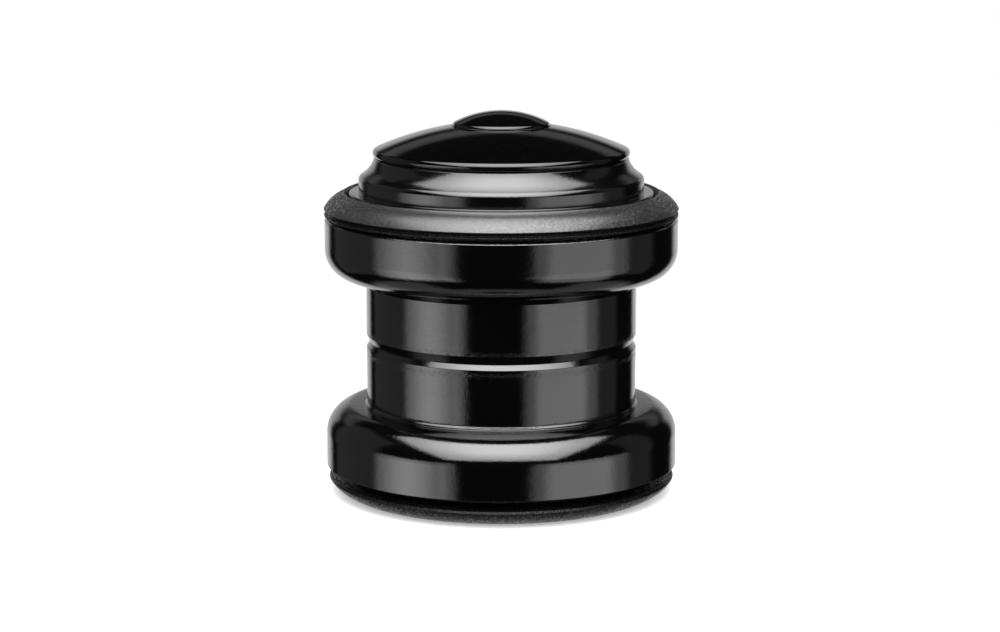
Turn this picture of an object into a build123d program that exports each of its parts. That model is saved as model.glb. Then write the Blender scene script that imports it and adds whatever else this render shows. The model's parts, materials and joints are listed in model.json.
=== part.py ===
"""Threadless bicycle headset with external cups, stacked as on the bike.

Millimetres. +Z is the steering axis and points up. The origin is on that axis, on the face
of the crown race that stands on the fork. All turned sections are drawn as (radius, height).
"""
from build123d import *
import os
from math import asin, cos, degrees, radians, sin, sqrt

# Radii, from the steering axis outwards
STEERER_RADIUS = 14.3         # steerer tube, 28.6 mm outside
STEERER_WALL = 1.6            # makes the steerer 25.4 mm inside
STEERER_BORE_GAP = 0.05       # slide of the steerer in the compression ring
COVER_BORE_GAP = 0.12         # slide of the steerer in the bearing cover
CROWN_SEAT_STEP = 0.7         # crown race seat on the fork, 30.0 mm outside
STEERER_ROOM = 1.3            # free space between the steerer and the cup skirts
SKIRT_WALL = 1.45             # makes the skirts 34.1 mm, a press fit in the head tube
WEDGE_ROOM = 0.95             # room for the compression ring, makes the bearing bore 30.5 mm
CUP_WALL = 1.69               # wall of a cup around its bearing
UPPER_LEDGE_WIDTH = 2.55      # flat rings that meet the ends of the head tube
LOWER_LEDGE_WIDTH = 2.05

# Bearings, 41 x 30.5 x 6.5 mm, angular contact, with 45 degree seats
BEARING_SECTION = 5.25        # from bore to outside, along a radius
BEARING_HEIGHT = 6.5
BALL_RADIUS = 1.5875
BALL_COUNT = 16
SHOULDER_HALF_GAP = 0.7       # half the slot between the two rings
FACE_LAND = 0.41              # flat left beside each 45 degree seat
RING_EDGE = 0.3               # edge break of the outer ring
BALL_PLAY = 0.05
CAGE_PLAY = 0.2               # cage to rings, radially
CAGE_END_GAP = 0.25           # cage to seals
POCKET_PLAY = 0.07
SHIELD_THICKNESS = 0.6
SHIELD_INSET = 0.3            # shield below the bearing's face
SHIELD_LIP_GAP = 0.1          # shield lip to the inner ring
SEAT_FIT = 0.03               # between pieces that are pressed or seated together

# Cups
EDGE_ROUND = 3.52             # large round between the wall and the ledge
FLOOR = 1.25                  # from the ledge to the bearing's face
FLOOR_RELIEF = 0.35           # keeps the floor off the turning inner ring
UPPER_FOOT_HEIGHT = 1.1       # taper around the upper skirt's foot
UPPER_FOOT_STEP = 0.35        # its width at the ledge
LOWER_FOOT_HEIGHT = 0.4       # small collar around the lower skirt's foot
LOWER_FOOT_STEP = 0.2         # its width
FOOT_LAND = 0.2               # height of the straight side of each
FOOT_FILLET = 0.1             # between foot and ledge
RIM_BEVEL = 0.27
UPPER_RIM_SETBACK = 0.44      # upper rim stops this far short of the bearing's face
LOWER_RIM_REACH = 0.06        # lower rim goes this far past the bearing's face
UPPER_SKIRT = 8.49            # skirt lengths
LOWER_SKIRT = 8.03
LEAD_IN = 0.45                # skirt lead-in, along a radius
UPPER_LEAD_IN_LENGTH = 1.05
LOWER_LEAD_IN_LENGTH = 0.62

# Crown race and its seal
CROWN_LIFT = 3.44             # lower bearing's face above the foot
CROWN_SHELF_DROP = 0.6        # top of the race's base below the bearing's face
CROWN_CONE_TOP = 1.3          # height of the cone inside the bearing's seat
CROWN_LAND = 1.3775           # flat of the race's base around the cone
CROWN_EDGE = 0.3              # edge breaks of the race's foot
CROWN_SEAL_INSET = 0.3        # seal inside the cup's outside
CROWN_SEAL_LIP = 2.25         # height of the seal's outer lip
CROWN_SEAL_WIDEST = 1.95      # height of its widest place
CROWN_SEAL_LIP_TUCK = 0.15    # lip inside the widest place
CROWN_SEAL_FOOT = 0.2         # width of its flat foot
CROWN_SEAL_BELLY = 0.4        # bulge of its round underside
CROWN_SEAL_LIFT = 0.05        # seal clear of the surface under the race

# Compression ring
WEDGE_DEPTH = 2.0             # reach into the bearing
WEDGE_HEAD = 0.46             # head above the bearing, which carries the cover
WEDGE_SPLIT = 1.4

# Bearing cover
COVER_HEIGHT = 6.68
FLANGE_THICKNESS = 1.33
FLANGE_INSET = 1.6            # flange inside the cup's outside
COVER_LEDGE_HEIGHT = 2.33
COVER_LEDGE_WIDTH = 1.25      # ledge between the wall and the seal
COVER_LEDGE_EDGE = 0.25       # its round edge, which catches the light
NECK_WALL = 1.58              # makes the neck 32.0 mm
NECK_EDGE = 0.2
COVE_WIDTH = 1.5
COVE_TILT = 17.0              # degrees that the cove leans out where it starts
LIP_WIDTH = 0.43
LIP_HEIGHT = 4.5              # crease between cove and lip
WALL_TOP = 3.82

# Cover seal
SEAL_OVERHANG = 0.085         # past the cup's outside
SEAL_TOP_RISE = 0.08          # inner edge above the cover's ledge
SEAL_TOP_GAP = 0.55           # open groove between that edge and the ledge
SEAL_BROW_INSET = 2.1         # where the slope turns down
SEAL_BROW_DROP = 0.3
SEAL_BROW_BULGE = 0.27
SEAL_EDGE_HEIGHT = 0.26       # widest place above the cover's underside
SEAL_NOTCH_DEPTH = 0.45       # notch between the brow and the bead under it
SEAL_NOTCH_DROP = 0.2         # below the cover's underside, as the next two
SEAL_BEAD_TOP_DROP = 0.36
SEAL_BEAD_FOOT_DROP = 0.56
SEAL_BEAD_INSET = 0.05        # bead inside the widest place
SEAL_BEAD_TUCK = 0.3          # taper from the bead to the lip
SEAL_LIP_WIDTH = 1.0
SEAL_LIP_GAP = 0.2            # lip to the cup's rim

# Top cap, bolt and plug
CAP_HEIGHT = 4.4              # top of the dome above the cover
CAP_OVERHANG = 0.13           # rim past the cover's neck
CAP_RIM_ROUND = 0.56
SPIGOT_GAP = 0.8              # spigot to the inside of the steerer
SPIGOT_DEPTH = 2.4
SPIGOT_WALL = 1.3
BOSS_WALL = 1.85              # around the bolt head
CAP_SKIN = 3.3                # from the dome's top to the ceiling of the hollow
BOLT_FLOOR = 2.0              # under the bolt head
BOLT_RADIUS = 3.0             # M6
BOLT_LENGTH = 30.0
BOLT_TIP = 0.8
BOLT_HOLE_GAP = 0.3
HEAD_RADIUS = 5.0
HEAD_HEIGHT = 4.0
HEAD_EDGE = 0.4
HEAD_GAP = 0.35
HEX_ACROSS_FLATS = 5.0
HEX_DEPTH = 2.6
PLUG_RADIUS = 6.1
PLUG_SEAT_DEPTH = 1.0         # below the top of the cap's dome
PLUG_RIM_HEIGHT = 0.58        # widest place of its round rim above its seat
PLUG_RIM_ROUND = 0.45
PLUG_CROWN = 1.806            # top above the rim's widest place
PLUG_CLEARANCE = 0.05
PLUG_OVER_HEAD = 0.3
STUB_LENGTH = 2.0             # stub pushed into the bolt's socket
STUB_PLAY = 0.1

# Star nut
STAR_GRIP_GAP = 0.1           # star's rim to the inside of the steerer
STAR_THICKNESS = 0.8
STAR_RISE = 2.4               # petals bend up by this
STAR_FLAT = 1.6               # flat hub around the core
STAR_PETALS = 5
STAR_SLOT_ANGLE = 24.0        # degrees between petals at the rim
STAR_SLOT_ROOT = 1.2          # slot starts this far outside the flat
CORE_RADIUS = 4.5
CORE_NECK = 0.75              # the stars sit in necks this deep
CORE_LENGTH = 11.0
CORE_END = 0.9                # rivet head outside each star
CORE_TIP = 1.4                # bolt tip past the core
THREAD_PLAY = 0.05

# Derived radii
STEERER_BORE = STEERER_RADIUS + STEERER_BORE_GAP
CROWN_BORE = STEERER_RADIUS + CROWN_SEAT_STEP
SKIRT_BORE = STEERER_RADIUS + STEERER_ROOM
SKIRT_RADIUS = SKIRT_BORE + SKIRT_WALL
BEARING_BORE = STEERER_RADIUS + WEDGE_ROOM
BEARING_RADIUS = BEARING_BORE + BEARING_SECTION
PITCH_RADIUS = (BEARING_BORE + BEARING_RADIUS) / 2
BEARING_BEVEL = BEARING_SECTION / 2 - SHOULDER_HALF_GAP - FACE_LAND
POCKET_RADIUS = BEARING_RADIUS + SEAT_FIT
CUP_RADIUS = POCKET_RADIUS + CUP_WALL
CONE_FIT = SEAT_FIT * sqrt(2)
COVER_BORE = STEERER_RADIUS + COVER_BORE_GAP
NECK_RADIUS = COVER_BORE + NECK_WALL
COVE_RADIUS = NECK_RADIUS + COVE_WIDTH
COVER_RADIUS = COVE_RADIUS + LIP_WIDTH
FLANGE_RADIUS = CUP_RADIUS - FLANGE_INSET
SEAL_SEAT_RADIUS = COVER_RADIUS + COVER_LEDGE_WIDTH
CAP_RADIUS = NECK_RADIUS + CAP_OVERHANG
STEERER_INSIDE = STEERER_RADIUS - STEERER_WALL
SPIGOT_RADIUS = STEERER_INSIDE - SPIGOT_GAP
STAR_RADIUS = STEERER_INSIDE - STAR_GRIP_GAP
CONE_FOOT_RADIUS = BEARING_BORE + BEARING_BEVEL - CONE_FIT + CROWN_SHELF_DROP
CROWN_BASE_RADIUS = CONE_FOOT_RADIUS + CROWN_LAND

# Heights of the stack, from the fork up
LOWER_BEARING_TOP = CROWN_LIFT + BEARING_HEIGHT
LOWER_LEDGE = LOWER_BEARING_TOP + FLOOR
SKIRTS_MEET = LOWER_LEDGE + LOWER_SKIRT
UPPER_LEDGE = SKIRTS_MEET + UPPER_SKIRT
UPPER_BEARING_FOOT = UPPER_LEDGE + FLOOR
UPPER_BEARING_TOP = UPPER_BEARING_FOOT + BEARING_HEIGHT
UPPER_RIM = UPPER_BEARING_TOP - UPPER_RIM_SETBACK
LOWER_RIM = CROWN_LIFT - LOWER_RIM_REACH
COVER_FOOT = UPPER_BEARING_TOP + WEDGE_HEAD
COVER_TOP = COVER_FOOT + COVER_HEIGHT
CAP_TOP = COVER_TOP + CAP_HEIGHT
PLUG_SEAT = CAP_TOP - PLUG_SEAT_DEPTH
HEAD_SEAT = PLUG_SEAT - PLUG_OVER_HEAD - HEAD_HEIGHT
BOLT_FOOT = HEAD_SEAT - BOLT_LENGTH
CORE_FOOT = BOLT_FOOT + CORE_TIP


def turned(*outline):
    """A solid turned about the steering axis from a closed outline of curves."""
    section = make_face(Curve() + list(outline))
    return revolve(Plane.XZ * section, Axis.Z)


def ring(inner, outer, low, high):
    """A plain turned ring."""
    corners = [(inner, low), (outer, low), (outer, high), (inner, high)]
    return turned(Polyline(*corners, close=True))


def upside_down(solid, height):
    """Turns a piece over about X, so that what was at zero comes to the given height."""
    return Pos(Z=height) * Rot(X=180) * solid


def cup(skirt_length, lead_in_length, foot_height, foot_step, ledge_width, shell_depth):
    """A cup drawn from its ledge at zero: the skirt goes up and the shell hangs down."""
    round_centre = CUP_RADIUS - EDGE_ROUND
    ledge_radius = SKIRT_RADIUS + ledge_width
    turn = degrees(asin((ledge_radius - round_centre) / EDGE_ROUND))
    round_drop = EDGE_ROUND * cos(radians(turn))
    seat_top = FLOOR - FLOOR_RELIEF
    cone_end = POCKET_RADIUS - BEARING_BEVEL - FLOOR_RELIEF
    foot_radius = SKIRT_RADIUS + foot_step
    skirt = Polyline(
        (SKIRT_BORE, skirt_length),
        (SKIRT_RADIUS - LEAD_IN, skirt_length),
        (SKIRT_RADIUS, skirt_length - lead_in_length),
        (SKIRT_RADIUS, foot_height),
        (foot_radius, FOOT_LAND),
        (foot_radius, FOOT_FILLET),
    )
    foot = CenterArc((foot_radius + FOOT_FILLET, FOOT_FILLET), FOOT_FILLET, 180, 90)
    ledge = Line((foot_radius + FOOT_FILLET, 0), (ledge_radius, 0))
    shoulder = CenterArc((round_centre, -round_drop), EDGE_ROUND, 0, 90 - turn)
    shell = Polyline(
        (CUP_RADIUS, -round_drop),
        (CUP_RADIUS, RIM_BEVEL - shell_depth),
        (CUP_RADIUS - RIM_BEVEL, -shell_depth),
        (POCKET_RADIUS, -shell_depth),
        (POCKET_RADIUS, -FLOOR - BEARING_BEVEL),
        (cone_end, -seat_top),
        (SKIRT_BORE, -seat_top),
        (SKIRT_BORE, skirt_length),
    )
    return turned(skirt, foot, ledge, shoulder, shell)


def bearing():
    """The six pieces of a bearing that stands on its outer seat, with its inner seat on top."""
    middle = BEARING_HEIGHT / 2
    inner_shoulder = PITCH_RADIUS - SHOULDER_HALF_GAP
    outer_shoulder = PITCH_RADIUS + SHOULDER_HALF_GAP
    groove = Pos(PITCH_RADIUS, middle) * Circle(BALL_RADIUS + BALL_PLAY)
    outer_section = make_face(Polyline(
        (outer_shoulder, 0),
        (BEARING_RADIUS - BEARING_BEVEL, 0),
        (BEARING_RADIUS, BEARING_BEVEL),
        (BEARING_RADIUS, BEARING_HEIGHT - RING_EDGE),
        (BEARING_RADIUS - RING_EDGE, BEARING_HEIGHT),
        (outer_shoulder, BEARING_HEIGHT),
        close=True,
    ))
    inner_section = make_face(Polyline(
        (inner_shoulder, BEARING_HEIGHT),
        (BEARING_BORE + BEARING_BEVEL, BEARING_HEIGHT),
        (BEARING_BORE, BEARING_HEIGHT - BEARING_BEVEL),
        (BEARING_BORE, 0),
        (inner_shoulder, 0),
        close=True,
    ))
    ball = Pos(PITCH_RADIUS, 0, middle) * Sphere(BALL_RADIUS)
    pocket = Pos(PITCH_RADIUS, 0, middle) * Rot(Y=90) * Cylinder(BALL_RADIUS + POCKET_PLAY, BEARING_SECTION)
    around = [Rot(Z=360 * i / BALL_COUNT) for i in range(BALL_COUNT)]
    cage_low = SHIELD_INSET + SHIELD_THICKNESS + CAGE_END_GAP
    cage = ring(inner_shoulder + CAGE_PLAY, outer_shoulder - CAGE_PLAY, cage_low, BEARING_HEIGHT - cage_low)
    shield = ring(
        inner_shoulder + SHIELD_LIP_GAP,
        outer_shoulder - SEAT_FIT,
        SHIELD_INSET,
        SHIELD_INSET + SHIELD_THICKNESS,
    )
    return {
        "outer_ring": revolve(Plane.XZ * (outer_section - groove), Axis.Z),
        "inner_ring": revolve(Plane.XZ * (inner_section - groove), Axis.Z),
        "balls": Compound([turn * ball for turn in around]),
        "cage": cage - [turn * pocket for turn in around],
        "outer_seat_seal": shield,
        "inner_seat_seal": upside_down(shield, BEARING_HEIGHT),
    }


def crown_race():
    """Ring pressed on the fork, with a cone for the lower bearing's inner seat."""
    shelf = CROWN_LIFT - CROWN_SHELF_DROP
    cone_top = CROWN_LIFT + CROWN_CONE_TOP
    cone_rise = cone_top - shelf
    return turned(Polyline(
        (CROWN_BORE, CROWN_EDGE),
        (CROWN_BORE + CROWN_EDGE, 0),
        (CROWN_BASE_RADIUS - CROWN_EDGE, 0),
        (CROWN_BASE_RADIUS, CROWN_EDGE),
        (CROWN_BASE_RADIUS, shelf),
        (CONE_FOOT_RADIUS, shelf),
        (CONE_FOOT_RADIUS - cone_rise, cone_top),
        (CROWN_BORE, cone_top),
        close=True,
    ))


def crown_race_seal():
    """Rubber ring around the crown race's base, rounded underneath."""
    inner = CROWN_BASE_RADIUS + SEAT_FIT
    widest = CUP_RADIUS - CROWN_SEAL_INSET
    foot = (inner + CROWN_SEAL_FOOT, CROWN_SEAL_LIFT)
    belly = SagittaArc((widest, CROWN_SEAL_WIDEST), foot, CROWN_SEAL_BELLY)
    rest = Polyline(
        foot,
        (inner, CROWN_SEAL_LIFT),
        (inner, CROWN_LIFT - CROWN_SHELF_DROP),
        (widest - CROWN_SEAL_LIP_TUCK, CROWN_SEAL_LIP),
        (widest, CROWN_SEAL_WIDEST),
    )
    return turned(belly, rest)


def compression_ring():
    """Split wedge that centres the steerer in the upper bearing's inner seat."""
    cone_line = BEARING_BORE + BEARING_BEVEL - CONE_FIT - UPPER_BEARING_TOP
    foot = UPPER_BEARING_TOP - WEDGE_DEPTH
    wedge = turned(Polyline(
        (STEERER_BORE, foot),
        (cone_line + foot, foot),
        (cone_line + UPPER_BEARING_TOP, UPPER_BEARING_TOP),
        (cone_line + UPPER_BEARING_TOP, COVER_FOOT),
        (STEERER_BORE, COVER_FOOT),
        close=True,
    ))
    middle = (foot + COVER_FOOT) / 2
    split = Pos(Y=STEERER_BORE, Z=middle) * Box(WEDGE_SPLIT, STEERER_BORE, WEDGE_HEAD + WEDGE_DEPTH)
    return wedge - split


def bearing_cover():
    """Cover over the upper bearing: flange for the seal, straight wall, lip, cove and neck."""
    flange_top = COVER_FOOT + FLANGE_THICKNESS
    ledge = COVER_FOOT + COVER_LEDGE_HEIGHT
    edge_radius = SEAL_SEAT_RADIUS - COVER_LEDGE_EDGE
    edge_height = ledge - COVER_LEDGE_EDGE
    wall_top = (COVER_RADIUS, COVER_FOOT + WALL_TOP)
    crease = (COVE_RADIUS, COVER_FOOT + LIP_HEIGHT)
    neck_top = (NECK_RADIUS, COVER_TOP - NECK_EDGE)
    lean = radians(COVE_TILT)
    below = Polyline(
        (COVER_BORE, COVER_TOP),
        (COVER_BORE, COVER_FOOT),
        (FLANGE_RADIUS, COVER_FOOT),
        (FLANGE_RADIUS, flange_top),
        (SEAL_SEAT_RADIUS, flange_top),
        (SEAL_SEAT_RADIUS, edge_height),
    )
    ledge_edge = CenterArc((edge_radius, edge_height), COVER_LEDGE_EDGE, 0, 90)
    wall = Polyline((edge_radius, ledge), (COVER_RADIUS, ledge), wall_top)
    lip = TangentArc(wall_top, crease, tangent=(0, 1))
    cove = TangentArc(neck_top, crease, tangent=(sin(lean), -cos(lean)))
    above = Polyline(neck_top, (NECK_RADIUS - NECK_EDGE, COVER_TOP), (COVER_BORE, COVER_TOP))
    return turned(below, ledge_edge, wall, lip, cove, above)


def cover_seal():
    """Rubber ring on the cover's flange; its brow slopes over the upper cup's rim."""
    seat = COVER_FOOT + FLANGE_THICKNESS + SEAT_FIT
    inner = SEAL_SEAT_RADIUS + SEAT_FIT
    hold = FLANGE_RADIUS + SEAT_FIT
    widest = CUP_RADIUS + SEAL_OVERHANG
    top = COVER_FOOT + COVER_LEDGE_HEIGHT + SEAL_TOP_RISE
    brow = (widest - SEAL_BROW_INSET, top - SEAL_BROW_DROP)
    edge = (widest, COVER_FOOT + SEAL_EDGE_HEIGHT)
    bead = widest - SEAL_BEAD_INSET
    lip = UPPER_RIM + SEAL_LIP_GAP
    inner_edge = (inner + SEAL_TOP_GAP, top)
    slope = Line(inner_edge, brow)
    rounding = SagittaArc(brow, edge, SEAL_BROW_BULGE)
    rest = Polyline(
        edge,
        (widest - SEAL_NOTCH_DEPTH, COVER_FOOT - SEAL_NOTCH_DROP),
        (bead, COVER_FOOT - SEAL_BEAD_TOP_DROP),
        (bead, COVER_FOOT - SEAL_BEAD_FOOT_DROP),
        (bead - SEAL_BEAD_TUCK, lip),
        (bead - SEAL_BEAD_TUCK - SEAL_LIP_WIDTH, lip),
        (hold, COVER_FOOT),
        (hold, seat),
        (inner, seat),
        inner_edge,
    )
    return turned(slope, rounding, rest)


def dome(radius, rim_round, rim_height, top):
    """Radius, centre height and half angle of a dome that runs smoothly into a rounded rim."""
    rim_centre = radius - rim_round
    rise = top - rim_height
    dome_radius = (rim_centre**2 + rise**2 - rim_round**2) / (2 * (rise - rim_round))
    return dome_radius, top - dome_radius, degrees(asin(rim_centre / (dome_radius - rim_round)))


def top_cap():
    """Domed cap: rounded rim, spigot for the steerer, boss and pocket for the bolt and plug."""
    rim_centre = CAP_RADIUS - CAP_RIM_ROUND
    rim_height = COVER_TOP + CAP_RIM_ROUND
    dome_radius, dome_centre, dome_end = dome(CAP_RADIUS, CAP_RIM_ROUND, rim_height, CAP_TOP)
    plug_bore = PLUG_RADIUS + PLUG_CLEARANCE
    dome_start = degrees(asin(plug_bore / dome_radius))
    head_bore = HEAD_RADIUS + HEAD_GAP
    boss = head_bore + BOSS_WALL
    boss_foot = HEAD_SEAT - BOLT_FLOOR
    ceiling = CAP_TOP - CAP_SKIN
    outside = CenterArc((0, dome_centre), dome_radius, 90 - dome_end, dome_end - dome_start)
    rim = CenterArc((rim_centre, rim_height), CAP_RIM_ROUND, -90, 180 - dome_end)
    inside = Polyline(
        (rim_centre, COVER_TOP),
        (SPIGOT_RADIUS, COVER_TOP),
        (SPIGOT_RADIUS, COVER_TOP - SPIGOT_DEPTH),
        (SPIGOT_RADIUS - SPIGOT_WALL, COVER_TOP - SPIGOT_DEPTH),
        (SPIGOT_RADIUS - SPIGOT_WALL, ceiling),
        (boss, ceiling),
        (boss, boss_foot),
        (BOLT_RADIUS + BOLT_HOLE_GAP, boss_foot),
        (BOLT_RADIUS + BOLT_HOLE_GAP, HEAD_SEAT),
        (head_bore, HEAD_SEAT),
        (head_bore, PLUG_SEAT),
        (plug_bore, PLUG_SEAT),
        (plug_bore, dome_centre + dome_radius * cos(radians(dome_start))),
    )
    return turned(outside, rim, inside)


def bolt_plug():
    """Domed plug over the bolt, with a stub for the bolt's socket."""
    rim_height = PLUG_SEAT + PLUG_RIM_HEIGHT
    top = rim_height + PLUG_CROWN
    stub = HEX_ACROSS_FLATS / 2 - STUB_PLAY
    stub_foot = PLUG_SEAT - PLUG_OVER_HEAD - STUB_LENGTH
    crown_radius, crown_centre, crown_end = dome(PLUG_RADIUS, PLUG_RIM_ROUND, rim_height, top)
    crown = CenterArc((0, crown_centre), crown_radius, 90 - crown_end, crown_end)
    rim = CenterArc((PLUG_RADIUS - PLUG_RIM_ROUND, rim_height), PLUG_RIM_ROUND, 0, 90 - crown_end)
    rest = Polyline(
        (PLUG_RADIUS, rim_height),
        (PLUG_RADIUS, PLUG_SEAT),
        (stub, PLUG_SEAT),
        (stub, stub_foot),
        (0, stub_foot),
        (0, top),
    )
    return turned(crown, rim, rest)


def cap_bolt():
    """M6 bolt with a low head and a hexagon socket."""
    head_top = HEAD_SEAT + HEAD_HEIGHT
    body = turned(Polyline(
        (0, BOLT_FOOT),
        (BOLT_RADIUS - BOLT_TIP, BOLT_FOOT),
        (BOLT_RADIUS, BOLT_FOOT + BOLT_TIP),
        (BOLT_RADIUS, HEAD_SEAT),
        (HEAD_RADIUS, HEAD_SEAT),
        (HEAD_RADIUS, head_top - HEAD_EDGE),
        (HEAD_RADIUS - HEAD_EDGE, head_top),
        (0, head_top),
        close=True,
    ))
    hexagon = RegularPolygon(HEX_ACROSS_FLATS / 2, 6, major_radius=False)
    socket = extrude(Pos(Z=head_top - HEX_DEPTH) * hexagon, HEX_DEPTH)
    return body - socket


def star_nut_core():
    """Threaded barrel of the star nut, with a neck near each end for a star."""
    bore = BOLT_RADIUS + THREAD_PLAY
    neck = CORE_RADIUS - CORE_NECK
    top = CORE_FOOT + CORE_LENGTH
    barrel = ring(bore, CORE_RADIUS, CORE_FOOT, top)
    necks = [
        ring(neck, CORE_RADIUS + CORE_NECK, low, low + STAR_THICKNESS)
        for low in (CORE_FOOT + CORE_END, top - CORE_END - STAR_THICKNESS)
    ]
    return barrel - necks


def star():
    """One dished spring star, with its hub's underside at zero."""
    hub = CORE_RADIUS - CORE_NECK + SEAT_FIT
    flat = hub + STAR_FLAT
    dish = turned(Polyline(
        (hub, 0),
        (flat, 0),
        (STAR_RADIUS, STAR_RISE),
        (STAR_RADIUS, STAR_RISE + STAR_THICKNESS),
        (flat, STAR_THICKNESS),
        (hub, STAR_THICKNESS),
        close=True,
    ))
    root = (flat + STAR_SLOT_ROOT, 0)
    reach = 2 * STAR_RADIUS
    half_width = reach * sin(radians(STAR_SLOT_ANGLE / 2))
    wedge = make_face(Polyline(root, (reach, half_width), (reach, -half_width), close=True))
    slot = extrude(wedge, STAR_RISE + STAR_THICKNESS)
    return dish - [Rot(Z=360 * (i + 0.5) / STAR_PETALS) * slot for i in range(STAR_PETALS)]


def all_nodes():
    """Every piece of the headset, by name, in its place."""
    upper_depth = UPPER_RIM - UPPER_LEDGE
    lower_depth = LOWER_LEDGE - LOWER_RIM
    upper_cup = cup(
        UPPER_SKIRT,
        UPPER_LEAD_IN_LENGTH,
        UPPER_FOOT_HEIGHT,
        UPPER_FOOT_STEP,
        UPPER_LEDGE_WIDTH,
        upper_depth,
    )
    lower_cup = cup(
        LOWER_SKIRT,
        LOWER_LEAD_IN_LENGTH,
        LOWER_FOOT_HEIGHT,
        LOWER_FOOT_STEP,
        LOWER_LEDGE_WIDTH,
        lower_depth,
    )
    nodes = {
        "upper_cup": upside_down(upper_cup, UPPER_LEDGE),
        "lower_cup": Pos(Z=LOWER_LEDGE) * lower_cup,
        "crown_race": crown_race(),
        "crown_race_seal": crown_race_seal(),
        "compression_ring": compression_ring(),
        "bearing_cover": bearing_cover(),
        "cover_seal": cover_seal(),
        "top_cap": top_cap(),
        "bolt_plug": bolt_plug(),
        "cap_bolt": cap_bolt(),
        "star_nut_core": star_nut_core(),
        "star_nut_lower_star": Pos(Z=CORE_FOOT + CORE_END) * star(),
        "star_nut_upper_star": Pos(Z=CORE_FOOT + CORE_LENGTH - CORE_END - STAR_THICKNESS) * star(),
    }
    for piece, solid in bearing().items():
        nodes["upper_bearing_" + piece] = Pos(Z=UPPER_BEARING_FOOT) * solid
        nodes["lower_bearing_" + piece] = upside_down(solid, LOWER_BEARING_TOP)
    return nodes


os.makedirs("parts", exist_ok=True)
for name, solid in all_nodes().items():
    export_step(solid, f"parts/{name}.step")
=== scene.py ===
"""Bicycle headset in gloss black: turned cups, cover, cap, rubber seals and bearings over the CAD frame."""

import json
import math

import bmesh
import bpy
from bpy.props import FloatProperty, FloatVectorProperty, IntProperty, PointerProperty
from bpy.types import Operator, Panel, PropertyGroup
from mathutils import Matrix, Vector

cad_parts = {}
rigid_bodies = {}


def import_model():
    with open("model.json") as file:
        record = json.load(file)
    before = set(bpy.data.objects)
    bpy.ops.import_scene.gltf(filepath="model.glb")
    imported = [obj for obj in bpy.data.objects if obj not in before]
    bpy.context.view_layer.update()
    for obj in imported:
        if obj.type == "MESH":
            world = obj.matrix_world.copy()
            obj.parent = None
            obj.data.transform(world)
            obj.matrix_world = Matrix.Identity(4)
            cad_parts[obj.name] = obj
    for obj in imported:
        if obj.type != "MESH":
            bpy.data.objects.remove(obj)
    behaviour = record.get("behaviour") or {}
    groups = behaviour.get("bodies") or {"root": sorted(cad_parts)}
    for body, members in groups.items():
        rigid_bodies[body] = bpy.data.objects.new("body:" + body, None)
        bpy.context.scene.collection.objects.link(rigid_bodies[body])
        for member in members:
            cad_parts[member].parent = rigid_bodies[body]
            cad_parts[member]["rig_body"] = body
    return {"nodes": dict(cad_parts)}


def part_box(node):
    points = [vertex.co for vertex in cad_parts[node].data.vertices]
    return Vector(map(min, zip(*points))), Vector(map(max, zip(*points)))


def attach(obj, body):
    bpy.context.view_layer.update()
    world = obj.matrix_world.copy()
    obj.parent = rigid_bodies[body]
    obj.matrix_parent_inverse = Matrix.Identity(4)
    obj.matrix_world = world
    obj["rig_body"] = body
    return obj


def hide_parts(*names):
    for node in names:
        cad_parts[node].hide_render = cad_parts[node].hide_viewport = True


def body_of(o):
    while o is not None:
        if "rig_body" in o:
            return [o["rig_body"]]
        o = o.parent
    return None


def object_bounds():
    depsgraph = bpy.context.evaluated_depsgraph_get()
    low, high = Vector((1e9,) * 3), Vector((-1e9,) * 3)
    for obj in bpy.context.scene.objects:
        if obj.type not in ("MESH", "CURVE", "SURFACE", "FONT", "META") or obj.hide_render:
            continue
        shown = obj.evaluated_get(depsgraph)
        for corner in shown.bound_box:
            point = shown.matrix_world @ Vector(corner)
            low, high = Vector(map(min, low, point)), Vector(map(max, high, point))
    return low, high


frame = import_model()
CAD_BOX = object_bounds()

bl_info = {
    "name": "Headset",
    "version": (1, 0, 0),
    "blender": (4, 5, 0),
    "location": "View3D > Sidebar > Headset",
    "description": "Dresses a threadless bicycle headset and sets up its studio",
    "category": "Object",
}

# Distances that count as none, in metres
TOUCH = 1e-8
WELD = 1e-7
AT_TOP = 1e-6
SAME_SIZE = 1e-5

# Turns of an outline: below the first it runs straight, and above the second it has a corner
STRAIGHT = 0.002
CORNER = math.radians(17.5)

# Turn for each division of a curve and of a corner's round, and the turn that counts as none between them
CURVE_STEP = math.radians(4.0)
ROUND_STEP = math.radians(14.0)
SAME_HEADING = 0.01

# Where a curve runs into a straight, the turn is about half of the next one
HALF_TURN = (0.35, 0.65)

# A corner's round takes at most this share of a run, and treats sharper half turns as this one
ROUND_SHARE = 0.4
SHARPEST_HALF = 1.2

# Cap bolt: divisions round it, rows to a pitch of its thread, and the least angle of a sharp edge
BOLT_AROUND = 72
THREAD_ROWS = 12
BOLT_EDGE = math.radians(32)

# Cap bolt's thread: lengths over which it fades, and its groove's cut and flank as shares of its depth
THREAD_LEAD = 0.0012
THREAD_RUN_OUT = 0.0015
GROOVE_CUT = 1.25
GROOVE_FLANK = 1.4

# How far past its sides the cap bolt's socket stays six-sided at its mouth
SOCKET_MOUTH = 0.0003

# Sandy paint at the skirts' open ends: where it starts and fades, measured from where the skirts meet
SKIRTS_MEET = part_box("upper_cup")[0][2]
SAND_STARTS = (0.0009, 0.0012)
SAND_FADES = (0.0016, 0.0022)

# How ragged the sand fades, its height against the paint's grain, and where worn rims start to be sandy
SAND_RAGGED = 0.0009
SAND_HEIGHT = 4.0
SANDY_RIMS_START = (0.002, 0.004)

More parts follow.
